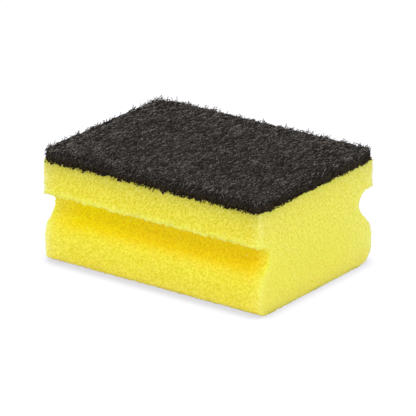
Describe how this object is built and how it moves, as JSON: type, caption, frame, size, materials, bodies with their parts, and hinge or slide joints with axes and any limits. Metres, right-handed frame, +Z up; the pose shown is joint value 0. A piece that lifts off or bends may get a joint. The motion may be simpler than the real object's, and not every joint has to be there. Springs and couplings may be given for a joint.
{
  "type": "cleaning sponge",
  "caption": "Foam cleaning sponge with a finger groove along each long side and a dark scouring pad glued to its top.",
  "frame": {"origin": "the middle of the foam's flat base, which is the face it stands on", "axes": "+X along the sponge's length and its two finger grooves, +Y across it, +Z up through the foam to the scouring pad"},
  "size_m": [0.095, 0.07, 0.0432],
  "materials": {
    "foam": "matte",
    "scouring_web": "matte"
  },
  "bodies": {
    "root": {"foam_block": "foam", "scouring_pad": "scouring_web"}
  },
  "joints": []
}
